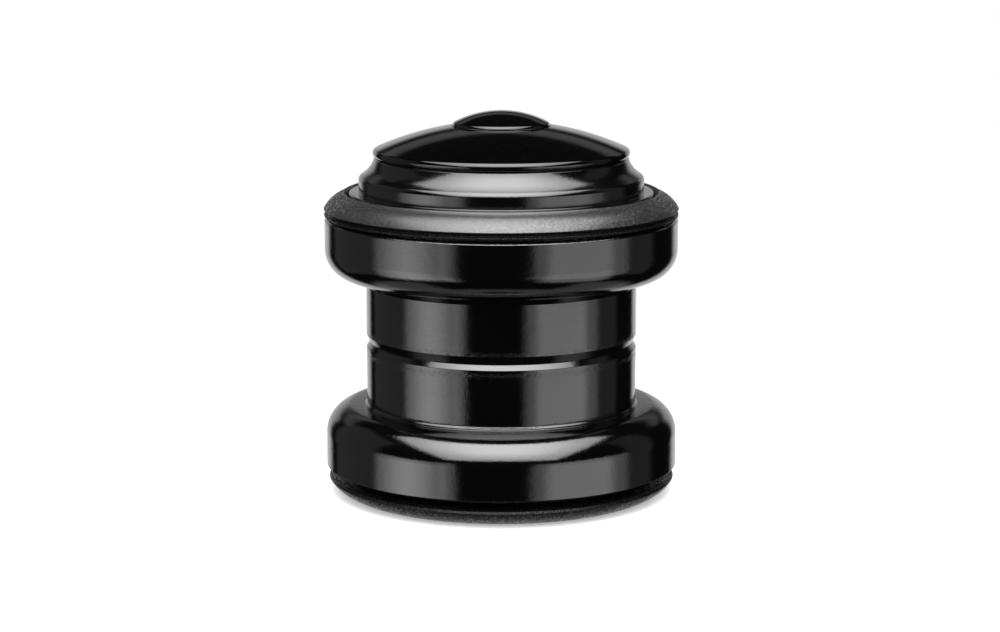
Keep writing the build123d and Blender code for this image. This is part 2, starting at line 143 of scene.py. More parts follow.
# Soft boxes: name, azimuth, elevation, width and height of view in degrees, lamp and share of its radiance
SOFT_BOXES = (
    ("left_box", -62.5, -17, 52, 34, "left_light", 1.04),
    ("left_box_edge", -34.5, -18, 9, 36, "left_light", 0.42),
    ("left_box_low", -62.5, -23.9, 52, 28.2, "left_light", 0.36),
    ("left_bounce", -112, 6, 50, 68, "left_light", 0.08),
    ("right_box", 54.5, -14, 67, 28, "right_light", 0.5),
    ("right_box_middle", 53, -20, 44, 40, "right_light", 0.5),
    ("right_box_low", 53, -23.9, 50, 28.2, "right_light", 0.28),
    ("right_bounce", 101, 6, 26, 68, "right_light", 0.09),
    ("top_box", 0, 63.5, 92, 97, "top_light", 1.0),
)
# Soft boxes overlap in view, so each stands a step nearer than the one before
FARTHEST_BOX = 0.98
BOX_STEP = 0.02

# Soft boxes that fade: share of the rim, shares across and up over which they grow, and lowest level
FADED_BOXES = (
    ("top_box", 0.04, 0.45, 0.45, 0.42),
    ("left_box", 0.03, 0.5, 0.05, 0.35),
    ("left_box_low", 0.03, 0.5, 0.01, 0.35),
)

# Floor: half its width, the distances over which it turns plain white, and its glow near the headset
FLOOR_REACH = 6.0
FLOOR_FADES = (0.03, 0.12)
FLOOR_GLOW = 0.4


class HeadsetSizes(PropertyGroup):
    """Sizes of the fine forms that the CAD solids leave out."""

    edge_round: FloatProperty(
        name="Metal edge", description="Round on the turned metal edges",
        default=0.00009, min=0, unit="LENGTH", precision=5)
    rubber_round: FloatProperty(
        name="Rubber edge", description="Round on the edges of the rubber rings",
        default=0.00008, min=0, unit="LENGTH", precision=5)
    around: IntProperty(
        name="Divisions", description="Divisions round a turned piece that shows", default=160, min=24)
    around_inside: IntProperty(
        name="Inner divisions", description="Divisions round a turned piece inside", default=96, min=24)
    thread_pitch: FloatProperty(
        name="Thread pitch", description="Pitch of the cap bolt's M6 thread",
        default=0.001, min=0, unit="LENGTH", precision=5)
    thread_depth: FloatProperty(
        name="Thread depth", description="Depth of the cap bolt's thread",
        default=0.00055, min=0, unit="LENGTH", precision=5)


class HeadsetFinish(PropertyGroup):
    """Colours and textures of the headset's finishes."""

    black: FloatVectorProperty(
        name="Gloss black", description="Colour of the painted metal", subtype="COLOR",
        default=(0.0009, 0.0009, 0.00095), min=0, max=1)
    black_worn: FloatVectorProperty(
        name="Worn black", description="Colour of the painted metal along its edges", subtype="COLOR",
        default=(0.008, 0.008, 0.0083), min=0, max=1)
    rubber: FloatVectorProperty(
        name="Seal rubber", description="Colour of the rubber rings", subtype="COLOR",
        default=(0.006, 0.006, 0.0062), min=0, max=1)
    grain_size: FloatProperty(
        name="Paint grain", description="Size of the paint's fine grain",
        default=0.00019, min=0, unit="LENGTH", precision=5)
    grain_depth: FloatProperty(
        name="Paint grain depth", description="Height of the paint's fine grain",
        default=0.000010, min=0, unit="LENGTH", precision=7)
    rubber_grain_size: FloatProperty(
        name="Rubber grain", description="Size of the grain moulded into the rubber",
        default=0.00016, min=0, unit="LENGTH", precision=5)
    steel: FloatVectorProperty(
        name="Bearing steel", description="Colour of the ground steel", subtype="COLOR",
        default=(0.58, 0.58, 0.60), min=0, max=1)
    aluminium: FloatVectorProperty(
        name="Plain aluminium", description="Colour of the bare aluminium", subtype="COLOR",
        default=(0.70, 0.70, 0.71), min=0, max=1)


class HeadsetStage(PropertyGroup):
    """Camera, floor and lamps."""

    target: FloatVectorProperty(
        name="Camera target", description="Point that the camera looks at", subtype="TRANSLATION",
        default=(0.0, 0.0, 0.0222), unit="LENGTH", precision=5)
    distance: FloatProperty(
        name="Camera distance", description="From the target to the camera",
        default=0.3452, unit="LENGTH", precision=5)
    elevation: FloatProperty(
        name="Camera elevation", description="Height of the camera above the horizon",
        default=math.radians(10.31), subtype="ANGLE")
    lens: FloatProperty(name="Lens", description="Focal length on a 36 mm sensor", default=98.06)
    floor: FloatVectorProperty(
        name="Floor", description="Colour of the floor", subtype="COLOR",
        default=(0.82, 0.82, 0.82), min=0, max=1)
    left_light: FloatProperty(name="Left box", description="Radiance of the left soft box", default=1.0)
    right_light: FloatProperty(name="Right box", description="Radiance of the right soft box", default=0.72)
    top_light: FloatProperty(name="Top box", description="Radiance of the overhead soft box", default=4.25)
    fill: FloatProperty(name="Fill", description="Even light from all round", default=0.25)


def cut_through(node):
    """Points of a CAD node's half section, by number, and the numbers of the points beside each."""
    cut = bmesh.new()
    cut.from_mesh(frame["nodes"][node].data)
    bmesh.ops.remove_doubles(cut, verts=cut.verts[:], dist=WELD)
    for normal, half in (((1, 0, 0), True), ((0, 1, 0), False)):
        found = bmesh.ops.bisect_plane(
            cut, geom=cut.verts[:] + cut.edges[:] + cut.faces[:], dist=TOUCH,
            plane_co=(0, 0, 0), plane_no=normal, clear_inner=half)
    cut.verts.index_update()
    place, beside = {}, {}
    for edge in found["geom_cut"]:
        if not isinstance(edge, bmesh.types.BMEdge):
            continue
        a, b = edge.verts
        for here, there in ((a, b), (b, a)):
            place[here.index] = here.co.copy()
            beside.setdefault(here.index, []).append(there.index)
    cut.free()
    return place, beside


def section(node):
    """Outline of a turned CAD node cut along its axis, as (radius, height) points, and whether it closes."""
    place, beside = cut_through(node)
    ends = [v for v in beside if len(beside[v]) == 1]
    if len(ends) not in (0, 2):
        raise RuntimeError(f"{node} can't be cut into one outline")
    walk = [ends[0] if ends else min(beside)]
    last = None
    while True:
        onward = [v for v in beside[walk[-1]] if v != last]
        if not onward or onward[0] == walk[0]:
            break
        last = walk[-1]
        walk.append(onward[0])
    if len(walk) != len(beside):
        raise RuntimeError(f"{node} has more than one outline")
    return [(max(place[v].x, 0.0), place[v].z) for v in walk], not ends


def bend(turn):
    """A turn brought into the range of half a circle each way."""
    return (turn + math.pi) % (2 * math.pi) - math.pi


def along(heading):
    """Unit vector along a heading."""
    return Vector((math.cos(heading), math.sin(heading)))


def left_of(heading):
    """Unit vector to the left of a heading."""
    return Vector((-math.sin(heading), math.cos(heading)))


def straightened(points, closed):
    """The outline without the points that lie on its straight runs, wound so that outside is on the right."""
    points = [Vector(p) for p in points]
    kept = []
    for i, here in enumerate(points):
        if not closed and i in (0, len(points) - 1):
            kept.append(here)
            continue
        before, after = here - points[i - 1], points[(i + 1) % len(points)] - here
        if before.length < WELD:
            continue
        if abs(bend(math.atan2(after.y, after.x) - math.atan2(before.y, before.x))) > STRAIGHT:
            kept.append(here)
    area = sum(a.x * b.y - b.x * a.y for a, b in zip(kept, kept[1:] + kept[:1]))
    return kept if area > 0 else kept[::-1]


def tangents(points, closed):
    """The outline's runs, its heading at both ends of each, and which points lie on curves."""
    count = len(points)
    spans = count if closed else count - 1
    runs = [points[(i + 1) % count] - points[i] for i in range(spans)]
    heading = [math.atan2(run.y, run.x) for run in runs]
    turn = [bend(heading[i % spans] - heading[i - 1]) for i in range(count)]
    if not closed:
        turn[0] = turn[-1] = math.pi
    smooth = [abs(t) < CORNER for t in turn]
    leave, reach = [None] * spans, [None] * spans
    for i in range(count):
        if not smooth[i]:
            continue
        ahead, behind = (i + 1) % count, i - 1
        share = runs[i % spans].length / (runs[i - 1].length + runs[i % spans].length)
        if smooth[ahead] and HALF_TURN[0] < turn[i] / turn[ahead] < HALF_TURN[1]:
            share = 0.0
        elif smooth[behind] and HALF_TURN[0] < turn[i] / turn[behind] < HALF_TURN[1]:
            share = 1.0
        reach[i - 1] = heading[i - 1] + turn[i] * share
        leave[i % spans] = heading[i % spans] - turn[i] * (1 - share)
    for i in range(spans):
        if leave[i] is None and reach[i] is None:
            leave[i] = reach[i] = heading[i]
        elif leave[i] is None:
            leave[i] = heading[i] - bend(reach[i] - heading[i])
        elif reach[i] is None:
            reach[i] = heading[i] - bend(leave[i] - heading[i])
    if not closed:
        for ends, i in ((leave, 0), (reach, spans - 1)):
            level = round(ends[i] / math.pi) * math.pi
            if abs(ends[i] - level) < CORNER:
                ends[i] = level
    return runs, leave, reach, smooth


def rounded_corner(corner, before, after, trim):
    """Points and headings of an arc that cuts a corner back by a trim on both sides."""
    swing = bend(after - before)
    size = math.copysign(trim / math.tan(abs(swing) / 2), swing)
    hub = corner - trim * along(before) + size * left_of(before)
    steps = max(2, math.ceil(abs(swing) / ROUND_STEP))
    angles = [before + swing * k / steps for k in range(steps + 1)]
    return [(hub - size * left_of(angle), angle) for angle in angles]


def curved_run(start, end, leave, reach, low, high):
    """Points and headings along a run that keeps its end headings, from one share of it to another."""
    sweep = bend(reach - leave)
    span = (end - start).length
    away, home = span * along(leave), span * along(reach)
    steps = max(1, math.ceil(abs(sweep) / CURVE_STEP))
    line = []
    for k in range(steps + 1):
        s = low + (high - low) * k / steps
        spot = (
            (2 * s**3 - 3 * s**2 + 1) * start + (s**3 - 2 * s**2 + s) * away
            + (3 * s**2 - 2 * s**3) * end + (s**3 - s**2) * home)
        line.append((spot, leave + sweep * s))
    return line


def turned_line(points, closed, radius):
    """Points and headings along an outline, with its curves filled in and its corners given a small round."""
    points = straightened(points, closed)
    count = len(points)
    runs, leave, reach, smooth = tangents(points, closed)
    trim = [0.0] * count
    for i in range(count):
        if smooth[i] or (not closed and i in (0, count - 1)):
            continue
        half = min(abs(bend(leave[i] - reach[i - 1])) / 2, SHARPEST_HALF)
        room = ROUND_SHARE * min(runs[i].length, runs[i - 1].length)
        trim[i] = min(radius * math.tan(half), room)
    line = []
    for i, run in enumerate(runs):
        ahead = (i + 1) % count
        if trim[i] > 0:
            line += rounded_corner(points[i], reach[i - 1], leave[i], trim[i])
        low, high = trim[i] / run.length, 1 - trim[ahead] / run.length
        line += curved_run(points[i], points[ahead], leave[i], reach[i], low, high)
    return without_doubles(line, closed)


def without_doubles(line, closed):
    """The line without points that repeat the one before in place and heading."""
    clean = []
    for spot, angle in line:
        if clean:
            last, last_angle = clean[-1]
            turn = abs(bend(angle - last_angle))
            if (spot - last).length < 2 * WELD and turn < SAME_HEADING:
                continue
        clean.append((spot, angle))
    if closed and (clean[0][0] - clean[-1][0]).length < 2 * WELD:
        clean.pop()
    return clean


def circle(count):
    """Angles of points spaced evenly round a circle."""
    return [2 * math.pi * k / count for k in range(count)]


def add_ring(verts, height, radii):
    """Adds a ring of points, or one point on the axis, to a mesh's points and gives their numbers."""
    first = len(verts)
    if max(radii) < TOUCH:
        verts.append((0, 0, height))
        return [first] * len(radii)
    for angle, radius in zip(circle(len(radii)), radii):
        verts.append((radius * math.cos(angle), radius * math.sin(angle), height))
    return list(range(first, len(verts)))


def ring_mesh(name, verts, rings):
    """Smooth mesh of the faces between each ring of points and the next."""
    faces = []
    for low, high in zip(rings, rings[1:]):
        for corners in zip(low, low[1:] + low[:1], high[1:] + high[:1], high):
            faces.append([v for j, v in enumerate(corners) if v != corners[j - 1]])
    mesh = bpy.data.meshes.new(name)
    mesh.from_pydata(verts, [], faces)
    mesh.shade_smooth()
    return mesh


def spun_mesh(name, line, closed, around):
    """Mesh of an outline turned about the axis, with the outline's own normals."""
    verts, normals, rings = [], [], []
    for spot, heading in line:
        rings.append(add_ring(verts, spot.y, [spot.x] * around))
        out, up = math.sin(heading), -math.cos(heading)
        if spot.x < TOUCH:
            normals.append((0, 0, math.copysign(1.0, up)))
        else:
            normals += [(out * math.cos(angle), out * math.sin(angle), up) for angle in circle(around)]
    mesh = ring_mesh(name, verts, rings + rings[:1] if closed else rings)
    mesh.normals_split_custom_set_from_vertices(normals)
    return mesh


def placed(mesh, node, material):
    """Puts a piece in a CAD node's place, on its body and in its finish."""
    piece = bpy.data.objects.new(mesh.name, mesh)
    bpy.context.scene.collection.objects.link(piece)
    mesh.materials.append(material)
    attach(piece, body_with(node))
    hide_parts(node)


def body_with(node):
    """Body that carries a CAD node."""
    body = body_of(frame["nodes"][node])
    return body if isinstance(body, str) else body[0]


def turned_piece(name, node, material, radius, around):
    """One turned piece over its CAD node."""
    points, closed = section(node)
    mesh = spun_mesh(name, turned_line(points, closed, radius), closed, around)
    placed(mesh, node, material)


def dressed(node, material):
    """Gives a CAD node whose shape is right its finish."""
    for holder in frame["nodes"][node].material_slots:
        holder.material = material


def wire(tree, node, sockets):
    """Sets a node's sockets to plain values, or links them to the outputs of other nodes."""
    for key, value in sockets.items():
        if isinstance(value, bpy.types.NodeSocket):
            tree.links.new(value, node.inputs[key])
        else:
            node.inputs[key].default_value = value


def put(tree, kind, settings=None, sockets=None):
    """New node in a tree, with its settings, and its sockets set or linked."""
    node = tree.nodes.new(kind)
    for key, value in (settings or {}).items():
        setattr(node, key, value)
    wire(tree, node, sockets or {})
    return node


def math_node(tree, operation, a, b=0.0, c=0.0):
    """Result of a Math node."""
    return put(tree, "ShaderNodeMath", {"operation": operation}, {0: a, 1: b, 2: c}).outputs[0]


def plus(tree, a, b):
    """Sum of two values."""
    return math_node(tree, "ADD", a, b)


def minus(tree, a, b):
    """Difference of two values."""
    return math_node(tree, "SUBTRACT", a, b)


def times(tree, a, b):
    """Product of two values."""
    return math_node(tree, "MULTIPLY", a, b)


def largest(tree, first, *others):
    """Largest of several values."""
    for other in others:
        first = math_node(tree, "MAXIMUM", first, other)
    return first


def vector_node(tree, operation, a, b=(0, 0, 0)):
    """Outputs of a Vector Math node."""
    return put(tree, "ShaderNodeVectorMath", {"operation": operation}, {0: a, 1: b}).outputs


def parts_of(tree, vector):
    """A vector's X, Y and Z."""
    return put(tree, "ShaderNodeSeparateXYZ", None, {0: vector}).outputs


def object_place(tree):
    """Place on the object's surface."""
    return put(tree, "ShaderNodeTexCoord").outputs["Object"]


def ramp(tree, value, low, high, to_low=0.0, to_high=1.0):
    """Value taken smoothly from one range to another."""
    ends = {"From Min": low, "From Max": high, "To Min": to_low, "To Max": to_high}
    smooth = {"interpolation_type": "SMOOTHSTEP"}
    return put(tree, "ShaderNodeMapRange", smooth, {"Value": value, **ends}).outputs["Result"]


def angle_ramp(tree, angle, low, high, to_low=0.0, to_high=1.0):
    """Ramp over an angle, with its range in degrees."""
    return ramp(tree, angle, math.radians(low), math.radians(high), to_low, to_high)


def speckle(tree, place, size, detail, rough=0.5, finer=1.0, **settings):
    """Noise of a size, or finer than it by a factor."""
    scale = math_node(tree, "DIVIDE", finer, size)
    sockets = {"Vector": place, "Scale": scale, "Detail": detail, "Roughness": rough}
    return put(tree, "ShaderNodeTexNoise", settings, sockets).outputs["Fac"]


def spread(tree, noise, low=0.0, high=1.0):
    """Usual range of a noise taken smoothly to a range of values."""
    return ramp(tree, noise, 0.3, 0.7, low, high)


def grey(level):
    """A neutral colour."""
    return (level, level, level)


def shaded(colour, share):
    """A colour made darker or lighter."""
    return tuple(min(1.0, c * share) for c in colour)


def blend_colour(tree, share, a, b):
    """Mix of two colours."""
    node = put(tree, "ShaderNodeMix", {"data_type": "RGBA"}, {"Factor": share})
    for name, colour in (("A", a), ("B", b)):
        socket = next(s for s in node.inputs if s.name == name and s.type == "RGBA")
        if isinstance(colour, bpy.types.NodeSocket):
            tree.links.new(colour, socket)
        else:
            socket.default_value = (*colour[:3], 1)
    return next(s for s in node.outputs if s.type == "RGBA")


def bumped(tree, height, depth):
    """Normal of a surface with a bump from a height, in metres of depth."""
    return put(tree, "ShaderNodeBump", None, {"Height": height, "Distance": depth}).outputs["Normal"]


def shader_group(name, inputs, outputs):
    """Empty shader node group with named sockets, and its two end nodes."""
    group = bpy.data.node_groups.new(name, "ShaderNodeTree")
    for label, value in inputs.items():
        socket = group.interface.new_socket(label, in_out="INPUT", socket_type="NodeSocketFloat")
        socket.default_value = value
    for label in outputs:
        group.interface.new_socket(label, in_out="OUTPUT", socket_type="NodeSocketFloat")
    return group, group.nodes.new("NodeGroupInput").outputs, group.nodes.new("NodeGroupOutput")


def fine_grain(name):
    """Group: fine grain of paint or rubber, a softer peel, and slow changes of shade."""
    group, given, result = shader_group(name, {"Size": 0.0002, "Drift": 0.004}, ("Height", "Peel", "Shade"))
    place = object_place(group)
    for label, size, finer, detail in (
        ("Height", "Size", 1.0, 2.0),
        ("Peel", "Size", 0.22, 1.0),
        ("Shade", "Drift", 1.0, 4.0),
    ):
        wire(group, result, {label: speckle(group, place, given[size], detail, 0.55, finer)})
    return group


def sparkle(name):
    """Group: small tilted facets, each in its own direction, and a few that stand out."""
    group, given, result = shader_group(name, {"Size": 0.0002, "Share": 0.1}, ("Height", "Mask"))
    place = object_place(group)
    scale = math_node(group, "DIVIDE", 1.0, given["Size"])
    cells = put(group, "ShaderNodeTexVoronoi", None, {"Vector": place, "Scale": scale}).outputs
    lean = vector_node(group, "SUBTRACT", cells["Color"], grey(0.5))[0]
    reach = vector_node(group, "SUBTRACT", place, cells["Position"])[0]
    tilt = vector_node(group, "DOT_PRODUCT", lean, reach)["Value"]
    pick = put(group, "ShaderNodeSeparateColor", None, {"Color": cells["Color"]}).outputs["Red"]
    mask = math_node(group, "GREATER_THAN", pick, minus(group, 1.0, given["Share"]))
    wire(group, result, {"Height": times(group, tilt, scale), "Mask": mask})
    return group


def turning_marks(name):
    """Group: fine rings that a lathe or grinder leaves round the axis."""
    group, given, result = shader_group(name, {"Pitch": 0.00012}, ("Height", "Shade"))
    spot = parts_of(group, object_place(group))
    squares = plus(group, times(group, spot["X"], spot["X"]), times(group, spot["Y"], spot["Y"]))
    across = math_node(group, "SQRT", squares)
    place = put(group, "ShaderNodeCombineXYZ", None, {"X": across, "Y": spot["Z"]}).outputs[0]
    for label, finer in (("Height", 1.0), ("Shade", 0.12)):
        rings = speckle(group, place, given["Pitch"], 2.0, 0.6, finer, noise_dimensions="2D")
        wire(group, result, {label: rings})
    return group


def edge_wear(name):
    """Group: mask of the sharp outer edges, broken up by a grain."""
    group, given, result = shader_group(name, {"Amount": 0.5, "Size": 0.0004}, ("Mask",))
    edge = put(group, "ShaderNodeNewGeometry").outputs["Pointiness"]
    noise = speckle(group, object_place(group), given["Size"], 3.0)
    broken = times(group, ramp(group, edge, 0.52, 0.62), ramp(group, noise, 0.35, 0.65))
    wire(group, result, {"Mask": times(group, broken, given["Amount"])})
    return group


def dust(name):
    """Group: mask of fine dust that settles on what faces up."""
    group, given, result = shader_group(name, {"Amount": 0.3, "Size": 0.0006}, ("Mask",))
    facing = parts_of(group, put(group, "ShaderNodeNewGeometry").outputs["Normal"])["Z"]
    noise = speckle(group, object_place(group), given["Size"], 4.0, 0.7)
    settled = times(group, ramp(group, facing, 0.2, 0.95), ramp(group, noise, 0.5, 0.72))
    wire(group, result, {"Mask": times(group, settled, given["Amount"])})
    return group


EFFECTS = {
    "Fine grain": fine_grain,
    "Sparkle": sparkle,
    "Turning marks": turning_marks,
    "Edge wear": edge_wear,
    "Dust": dust,
}


def effect(tree, name, **values):
    """A shared effect placed in a material with its own values, its group built the first time."""
    node = tree.nodes.new("ShaderNodeGroup")
    node.node_tree = bpy.data.node_groups.get(name) or EFFECTS[name](name)
    wire(tree, node, {key.title(): value for key, value in values.items()})
    return node.outputs


def new_finish(name):
    """New material, its tree and its shader."""
    material = bpy.data.materials.new(name)
    material.use_nodes = True
    return material, material.node_tree, material.node_tree.nodes["Principled BSDF"]


def gloss_black_metal(name, rough):
    """Black paint on aluminium: deep gloss with a fine grain, sandy at the skirts' open ends and on rims."""
    look = bpy.context.scene.headset_finish
    material, tree, shader = new_finish(name)
    grain = effect(tree, "Fine grain", size=look.grain_size, drift=0.006)
    wear = effect(tree, "Edge wear", amount=0.35, size=0.0005)["Mask"]
    settled = effect(tree, "Dust", amount=0.012, size=0.0005)["Mask"]
    height = parts_of(tree, object_place(tree))["Z"]
    lift = math_node(tree, "ABSOLUTE", minus(tree, height, SKIRTS_MEET))
    ragged = plus(tree, lift, times(tree, grain["Height"], SAND_RAGGED))
    end = times(tree, ramp(tree, ragged, *SAND_FADES, 1.0, 0.0), ramp(tree, lift, *SAND_STARTS))
    rims = times(tree, wear, ramp(tree, lift, *SANDY_RIMS_START))
    facets = times(tree, effect(tree, "Sparkle", size=look.grain_size)["Height"], SAND_HEIGHT)
    sand = times(tree, facets, largest(tree, times(tree, end, 0.5), rims))
    colour = blend_colour(tree, wear, look.black, look.black_worn)
    smooth = spread(tree, grain["Shade"], rough, rough + 0.04)
    peel = plus(tree, grain["Height"], times(tree, grain["Peel"], 0.8))
    wire(tree, shader, {
        "Base Color": blend_colour(tree, settled, colour, grey(0.20)),
        "Roughness": plus(tree, smooth, times(tree, end, 0.03)),
        "IOR": 2.2,
        "Normal": bumped(tree, plus(tree, peel, sand), look.grain_depth),
    })
    return material


def smooth_gloss_black(name):
    """Smooth gloss black of the cap and its plug, with a faint flow and a little dust."""
    look = bpy.context.scene.headset_finish
    material, tree, shader = new_finish(name)
    grain = effect(tree, "Fine grain", size=0.00035, drift=0.008)
    wear = effect(tree, "Edge wear", amount=0.3, size=0.0006)["Mask"]
    settled = effect(tree, "Dust", amount=0.012, size=0.0006)["Mask"]
    colour = blend_colour(tree, wear, look.black, look.black_worn)
    wire(tree, shader, {
        "Base Color": blend_colour(tree, settled, colour, grey(0.16)),
        "Roughness": spread(tree, grain["Shade"], 0.05, 0.10),
        "IOR": 1.9,
        "Normal": bumped(tree, grain["Height"], 0.0000014),
    })
    return material


def grained_rubber(name, crest, depth):
    """Black rubber with a moulded grain that glints, its brighter grain cells painted glints, a soft gloss
    above a height, and below that height a darker colour as painted shade under the cover seal's brow.
    """
    look = bpy.context.scene.headset_finish
    material, tree, shader = new_finish(name)
    grain = effect(tree, "Fine grain", size=look.rubber_grain_size, drift=0.003)
    glint = effect(tree, "Sparkle", size=look.rubber_grain_size, share=0.3)
    settled = effect(tree, "Dust", amount=0.05, size=0.0004)["Mask"]
    height = parts_of(tree, object_place(tree))["Z"]
    above_crest = ramp(tree, height, crest - 0.00005, crest + 0.0001)
    # Tone varies at random with the grain; the sparkle's picked cells are painted about four times brighter
    # as painted glints
    shade = plus(tree, spread(tree, grain["Shade"], 0.0, 0.2), times(tree, glint["Mask"], 0.8))
    tone = blend_colour(tree, shade, look.rubber, shaded(look.rubber, 5))
    # Painted shade: below the crest the rubber is darkened to 0.15 of its colour, for the shade under the
    # cover seal's brow
    colour = blend_colour(tree, above_crest, shaded(look.rubber, 0.15), tone)
    crests = plus(tree, grain["Height"], times(tree, glint["Mask"], 0.2))
    gloss = ramp(tree, crests, 0.3, 0.8, 0.75, 1.0)
    aside = put(tree, "ShaderNodeLayerWeight", None, {"Blend": 0.5}).outputs["Facing"]
    facing = times(tree, above_crest, ramp(tree, aside, 0.45, 0.85, 1.0, 0.0))
    coarse = plus(tree, grain["Height"], times(tree, glint["Height"], 1.6))
    relief = times(tree, coarse, ramp(tree, above_crest, 0.0, 1.0, 0.5, 1.0))
    wire(tree, shader, {
        "Base Color": blend_colour(tree, settled, colour, grey(0.22)),
        "Roughness": minus(tree, 0.45, times(tree, glint["Mask"], 0.3)),
        "IOR": 1.43,
        "Coat Weight": times(tree, facing, gloss),
        "Coat Roughness": 0.3,
        "Coat IOR": 2.12,
        "Normal": bumped(tree, relief, depth),
    })
    return material


def ground_metal(name, colour, rough, pitch, depth, dark=0.6):
    """Bare metal with the fine rings of the tool that made it."""
    material, tree, shader = new_finish(name)
    marks = effect(tree, "Turning marks", pitch=pitch)
    grain = effect(tree, "Fine grain", size=0.00015, drift=0.003)
    wear = effect(tree, "Edge wear", amount=0.5, size=0.0005)["Mask"]
    shade = ramp(tree, plus(tree, marks["Shade"], grain["Shade"]), 0.7, 1.3)
    tone = blend_colour(tree, shade, shaded(colour, dark), colour)
    relief = plus(tree, marks["Height"], times(tree, grain["Height"], 0.3))
    wire(tree, shader, {
        "Base Color": blend_colour(tree, wear, tone, shaded(colour, 1.3)),
        "Roughness": spread(tree, grain["Shade"], rough * 0.8, rough * 1.25),
        "Metallic": 1.0,
        "Normal": bumped(tree, relief, depth),
    })
    return material


def sheet_metal(name, colour, rough):
    """Pressed or plated steel: a soft mottle and brighter edges."""
    material, tree, shader = new_finish(name)
    grain = effect(tree, "Fine grain", size=0.0003, drift=0.0016)
    wear = effect(tree, "Edge wear", amount=0.7, size=0.0006)["Mask"]
    tone = blend_colour(tree, spread(tree, grain["Shade"]), shaded(colour, 0.7), colour)
    wire(tree, shader, {
        "Base Color": blend_colour(tree, wear, tone, shaded(colour, 1.35)),
        "Roughness": spread(tree, grain["Shade"], rough * 0.8, rough * 1.3),
        "Metallic": 1.0,
        "Normal": bumped(tree, plus(tree, grain["Height"], grain["Peel"]), 0.000006),
    })
    return material


def moulded(name, colour, rough, depth):
    """Moulded plastic or rubber inside the bearings."""
    material, tree, shader = new_finish(name)
    grain = effect(tree, "Fine grain", size=0.00025, drift=0.002)
    settled = effect(tree, "Dust", amount=0.2, size=0.0004)["Mask"]
    tone = blend_colour(tree, spread(tree, grain["Shade"]), shaded(colour, 0.7), colour)
    wire(tree, shader, {
        "Base Color": blend_colour(tree, settled, tone, grey(0.3)),
        "Roughness": spread(tree, grain["Height"], rough * 0.85, rough * 1.2),
        "Normal": bumped(tree, grain["Height"], depth),
    })
    return material


class HEADSET_OT_cups(Operator):
    """Turn the two cups, with their skirts, in gloss black"""

    bl_idname = "headset.cups"
    bl_label = "Cups"

    def execute(self, context):
        sizes = context.scene.headset_sizes
        paint = gloss_black_metal("gloss_black_cups", 0.07)
        for node in ("upper_cup", "lower_cup"):
            turned_piece(node + "_turned", node, paint, sizes.edge_round, sizes.around)
        return {"FINISHED"}


class HEADSET_OT_cover(Operator):
    """Turn the bearing cover, and finish the split ring that wedges under it"""

    bl_idname = "headset.cover"
    bl_label = "Bearing cover"

    def execute(self, context):
        sizes = context.scene.headset_sizes
        look = context.scene.headset_finish
        paint = gloss_black_metal("gloss_black_cover", 0.12)
        turned_piece("bearing_cover_turned", "bearing_cover", paint, sizes.edge_round, sizes.around)
        bare = ground_metal("plain_turned_aluminium", look.aluminium, 0.32, 0.00012, 0.000004)
        dressed("compression_ring", bare)
        return {"FINISHED"}


class HEADSET_OT_cap(Operator):
    """Shape the domed top cap and the plug over its bolt, in smooth gloss black"""

    bl_idname = "headset.cap"
    bl_label = "Top cap"

    def execute(self, context):
        sizes = context.scene.headset_sizes
        black = smooth_gloss_black("gloss_black_cap")
        for node in ("top_cap", "bolt_plug"):
            turned_piece(node + "_moulded", node, black, sizes.edge_round, sizes.around)
        return {"FINISHED"}


class HEADSET_OT_seals(Operator):
    """Mould the two grained rubber rings"""

    bl_idname = "headset.seals"
    bl_label = "Rubber seals"

    def execute(self, context):
        sizes = context.scene.headset_sizes
        widest = max(section("cover_seal")[0])[1]
        for node, name, crest, depth in (
            ("cover_seal", "rubber_painted_shade_below_crest", widest, 0.00008),
            # The crown race seal's crest is the model's top, so all of it takes the darker colour and no coat
            ("crown_race_seal", "plain_rubber", CAD_BOX[1][2], 0.00006),
        ):
            rubber = grained_rubber(name, crest, depth)
            turned_piece(node + "_moulded", node, rubber, sizes.rubber_round, sizes.around)
        return {"FINISHED"}


class HEADSET_OT_crown_race(Operator):
    """Turn the race that sits on the fork's crown"""

    bl_idname = "headset.crown_race"
    bl_label = "Crown race"

    def execute(self, context):
        sizes = context.scene.headset_sizes
        steel = ground_metal("black_oxide_race", (0.06, 0.06, 0.062), 0.26, 0.0001, 0.000003)
        turned_piece("crown_race_turned", "crown_race", steel, sizes.edge_round, sizes.around_inside)
        return {"FINISHED"}


class HEADSET_OT_bearings(Operator):
    """Grind the bearing rings, and finish their balls, cages and seals"""

    bl_idname = "headset.bearings"
    bl_label = "Bearings"

    def execute(self, context):
        sizes = context.scene.headset_sizes
        look = context.scene.headset_finish
        steel = ground_metal("ground_bearing_steel", look.steel, 0.2, 0.00008, 0.000002, 0.75)
        polished = sheet_metal("polished_ball_steel", (0.68, 0.68, 0.70), 0.08)
        cage = moulded("cage_nylon", (0.62, 0.55, 0.42), 0.42, 0.000008)
        lip = moulded("bearing_seal_rubber", (0.016, 0.016, 0.017), 0.5, 0.00001)
        for bearing in ("upper_bearing", "lower_bearing"):
            for ring in ("outer_ring", "inner_ring"):
                node = f"{bearing}_{ring}"
                turned_piece(node + "_ground", node, steel, sizes.edge_round, sizes.around_inside)
            for seal in ("outer_seat_seal", "inner_seat_seal"):
                node = f"{bearing}_{seal}"
                turned_piece(node + "_moulded", node, lip, sizes.edge_round, sizes.around_inside)
            dressed(bearing + "_balls", polished)
            dressed(bearing + "_cage", cage)
        return {"FINISHED"}


